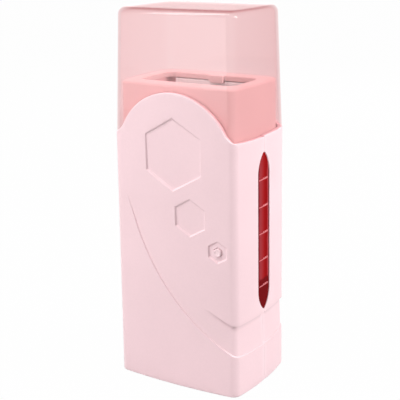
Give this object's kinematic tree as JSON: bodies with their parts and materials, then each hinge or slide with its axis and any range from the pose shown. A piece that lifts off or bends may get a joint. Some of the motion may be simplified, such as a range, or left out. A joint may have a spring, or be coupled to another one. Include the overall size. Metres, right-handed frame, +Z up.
{
  "type": "roll on wax heater",
  "caption": "Upright hand-held roll-on wax warmer: pale pink two-part housing with sight windows, coral cartridge well, hexagonal power button and a clear lift-off cap.",
  "frame": {"origin": "middle of the underside, on the surface the feet stand on", "axes": "+Z up, +X to the right seen from the front, -Y the front face with the button, +Y the back with the mains inlet"},
  "size_m": [0.078, 0.0576, 0.2],
  "materials": {
    "shell_pink": "pale pink ABS, semi-gloss, faint moulded grain",
    "collar_coral": "coral pink ABS, semi-gloss",
    "well_coral": "coral heat-resistant moulding, as the collar",
    "heat_plate": "sheet with a white release coating",
    "heater_ceramic": "PTC heater in a white film sleeve",
    "spring_steel": "stamped strip",
    "screw_steel": "zinc plated",
    "fuse_metal": "plain",
    "board_green": "solder mask",
    "capacitor_yellow": "moulded box",
    "terminal_grey": "moulded",
    "switch_black": "moulded",
    "button_pink": "as the shell",
    "inlet_black": "moulded nylon",
    "pin_brass": "bare",
    "lead_sheath": "silicone sleeve",
    "lens_red": "clear red acrylic",
    "foot_rubber": "pale, matt",
    "cap_clear_pink": "clear pink polystyrene"
  },
  "bodies": {
    "base": {"front_shell": "shell_pink", "rear_shell": "shell_pink", "collar": "collar_coral", "cartridge_well": "well_coral", "heat_plate_front": "heat_plate", "heat_plate_rear": "heat_plate", "ptc_heater": "heater_ceramic", "heater_clamp": "spring_steel", "clamp_screws": "screw_steel", "thermostat": "switch_black", "thermal_fuse": "fuse_metal", "control_board": "board_green", "board_screws": "screw_steel", "film_capacitor": "capacitor_yellow", "terminal_block": "terminal_grey", "tact_switch": "switch_black", "inlet_socket": "inlet_black", "inlet_pins": "pin_brass", "supply_leads": "lead_sheath", "heater_leads": "lead_sheath", "window_lens_right": "lens_red", "window_lens_left": "lens_red", "shell_screws": "screw_steel", "feet": "foot_rubber"},
    "lid": {"lid": "cap_clear_pink"},
    "button": {"power_button": "button_pink", "switch_plunger": "switch_black"}
  },
  "joints": [
    {"name": "lid_lift", "type": "slide", "parent": "base", "child": "lid", "axis": [0, 0, 1], "range_m": [0, 0.05]},
    {"name": "button_press", "type": "slide", "parent": "base", "child": "button", "axis": [0, 1, 0], "range_m": [0, 0.0006], "stiffness_N_per_m": 500, "springref_m": -0.0004}
  ]
}
